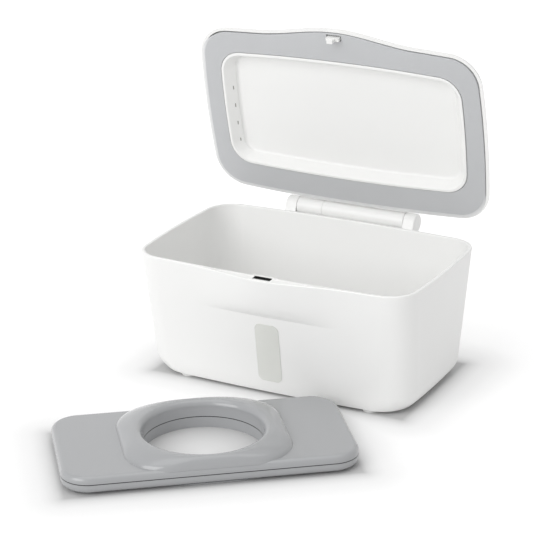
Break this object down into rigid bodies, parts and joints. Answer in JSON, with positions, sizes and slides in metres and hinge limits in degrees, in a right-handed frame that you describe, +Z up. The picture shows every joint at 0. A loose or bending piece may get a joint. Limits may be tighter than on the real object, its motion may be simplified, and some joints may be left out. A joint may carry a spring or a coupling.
{
  "type": "wipes dispenser",
  "caption": "Tapered wipes tub with a clear front window, a sprung lid with a gasket and push-button latch, and a loose weighted plate with a round opening.",
  "frame": {"origin": "on the table, under the middle of the box round the whole set: tub, open lid and loose plate", "axes": "+Z up, -Y towards the tub's front, +X to the right when the front is faced"},
  "size_m": [0.2388, 0.3542, 0.2584],
  "materials": {
    "white_shell": "satin white moulded plastic",
    "clear_window": "clear moulded plastic",
    "foot_pads": "soft pale rubber",
    "catch_steel": "dark sprung steel",
    "pin_steel": "bright steel",
    "spring_steel": "spring wire",
    "gasket_silicone": "soft grey silicone, faintly matt",
    "plate_grey": "glossy pale grey plastic",
    "weight_steel": "plain steel sheet"
  },
  "bodies": {
    "tub": {"tub": "white_shell", "window": "clear_window", "foot_front_left": "foot_pads", "foot_front_right": "foot_pads", "foot_rear_left": "foot_pads", "foot_rear_right": "foot_pads", "latch_catch": "catch_steel", "hinge_pin": "pin_steel", "hinge_spring": "spring_steel"},
    "lid": {"lid_shell": "white_shell", "lid_liner": "white_shell", "lid_gasket": "gasket_silicone", "lid_screws": "pin_steel", "latch_pin": "pin_steel", "latch_spring": "spring_steel"},
    "latch": {"latch_hook": "white_shell", "latch_button": "plate_grey"},
    "plate": {"plate_upper": "plate_grey", "plate_lower": "plate_grey", "plate_weight": "weight_steel"}
  },
  "joints": [
    {"name": "lid_hinge", "type": "hinge", "parent": "tub", "child": "lid", "pos_m": [0, 0.16971, 0.102], "axis": [1, 0, 0], "range_deg": [0, 77.4], "stiffness_Nm_per_rad": 0.1, "springref_deg": -68.75},
    {"name": "latch_press", "type": "hinge", "parent": "lid", "child": "latch", "pos_m": [0, 0.14474, 0.23803], "axis": [1, 0, 0], "range_deg": [0, 3.4], "stiffness_Nm_per_rad": 0.25, "springref_deg": -6.88},
    {"name": "plate_lift", "type": "slide", "parent": "tub", "child": "plate", "axis": [0, 0, 1], "range_m": [0, 0.04]}
  ]
}
